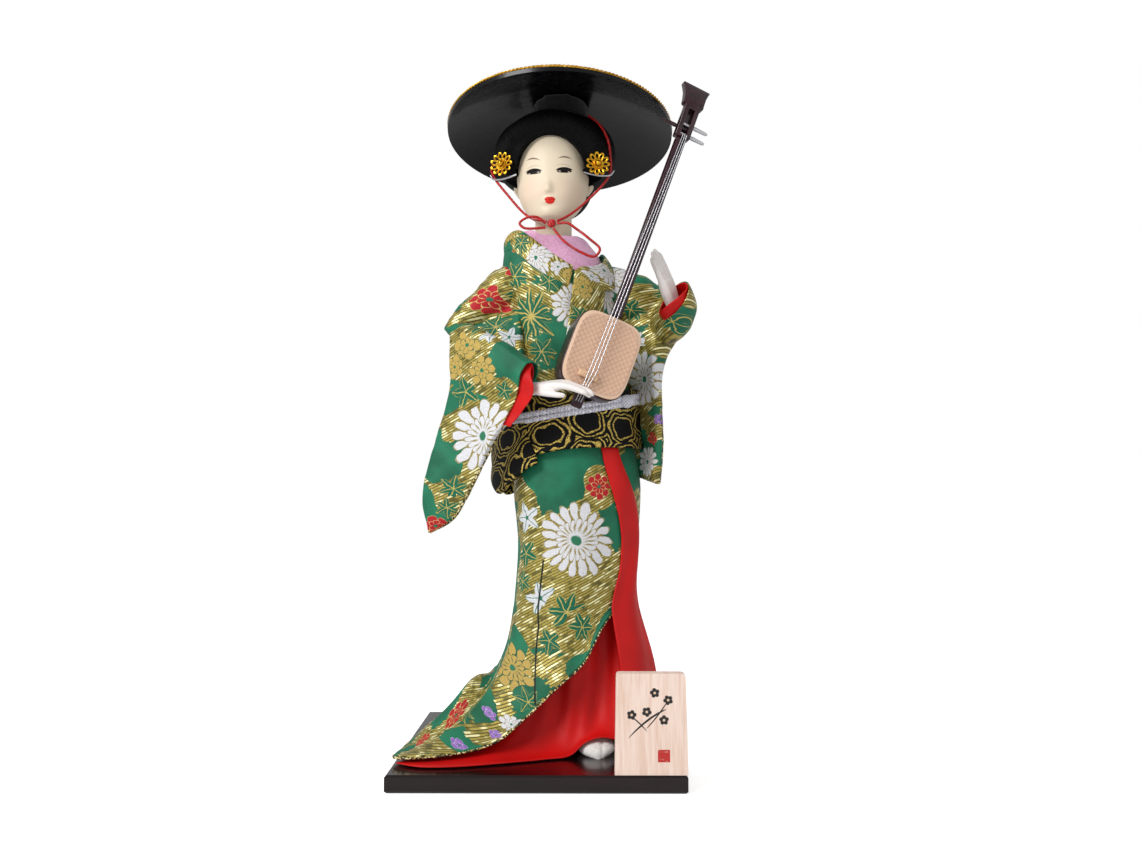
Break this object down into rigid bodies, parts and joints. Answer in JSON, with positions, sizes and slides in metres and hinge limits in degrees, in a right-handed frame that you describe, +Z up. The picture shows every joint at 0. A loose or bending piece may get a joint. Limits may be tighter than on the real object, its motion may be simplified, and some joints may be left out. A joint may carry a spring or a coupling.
{
  "type": "kimono doll",
  "caption": "Standing doll in a long green brocade kimono and wide lacquered hat, holding a small shamisen, on a square lacquered board with a loose wooden plaque.",
  "frame": {"origin": "centre of the underside of the square board", "axes": "+Z up, -Y toward the viewer in front of the doll, +X to that viewer's right"},
  "size_m": [0.1368, 0.12, 0.3086],
  "materials": {
    "lacquer": "black-wine gloss lacquer",
    "steel": "bright plated wire",
    "dowel": "plain turned dowel",
    "padding": "cotton wound over straw and wire",
    "tabi": "moulded white, satin",
    "red_satin": "red satin",
    "brocade": "green brocade with chrysanthemums in white and gold thread",
    "pink_crepe": "pink crepe",
    "sash_brocade": "black brocade with gold wave lines",
    "white_braid": "pale braided cord",
    "face_resin": "ivory resin with painted features",
    "hand_resin": "white moulded resin",
    "hair": "black combed fibre",
    "gilt": "gilt",
    "felt": "black felt",
    "lute_gloss": "dark wine gloss",
    "lute_skin": "tan with an embossed lattice",
    "plaque_wood": "pale bare wood"
  },
  "bodies": {
    "doll": {"base_board": "lacquer", "base_screw": "steel", "support_post": "dowel", "leg_core": "padding", "torso_core": "padding", "right_arm": "padding", "left_arm": "padding", "right_foot": "tabi", "left_foot": "tabi", "under_skirt": "red_satin", "skirt_facing": "red_satin", "right_cuff": "red_satin", "left_cuff": "red_satin", "skirt": "brocade", "bodice": "brocade", "collar_under": "brocade", "collar_over": "brocade", "right_sleeve": "brocade", "left_sleeve": "brocade", "inner_collar": "pink_crepe", "obi_band": "sash_brocade", "obi_drum": "sash_brocade", "obi_tail": "sash_brocade", "obi_cord": "white_braid", "obi_knot": "white_braid", "right_hand": "hand_resin", "left_hand": "hand_resin"},
    "head": {"head": "face_resin", "hair": "hair", "right_flower": "gilt", "left_flower": "gilt", "right_pin": "steel", "left_pin": "steel", "hat": "lacquer", "hat_braid": "gilt", "hat_seat": "felt", "cord_left": "red_satin", "cord_right": "red_satin", "cord_knot": "red_satin", "bow_left": "red_satin", "bow_right": "red_satin"},
    "shamisen": {"lute_frame": "lute_gloss", "lute_skin_front": "lute_skin", "lute_skin_back": "lute_skin", "lute_neck": "lute_gloss", "lute_head": "lute_gloss", "peg_lower": "steel", "peg_middle": "steel", "peg_upper": "steel", "lute_bridge": "lute_skin", "lute_tailpiece": "lute_gloss", "string_low": "steel", "string_middle": "steel", "string_high": "steel"},
    "plaque": {"plaque": "plaque_wood"}
  },
  "joints": [
    {"name": "neck_turn", "type": "hinge", "parent": "doll", "child": "head", "pos_m": [0.0052, 0, 0.22], "axis": [0, 0, 1], "range_deg": [-15, 15]},
    {"name": "shamisen_slide_out", "type": "slide", "parent": "doll", "child": "shamisen", "axis": [1, 0, 0], "range_m": [0, 0.11]},
    {"name": "plaque_lift_off", "type": "slide", "parent": "doll", "child": "plaque", "axis": [0, 0, 1], "range_m": [0, 0.05]}
  ]
}
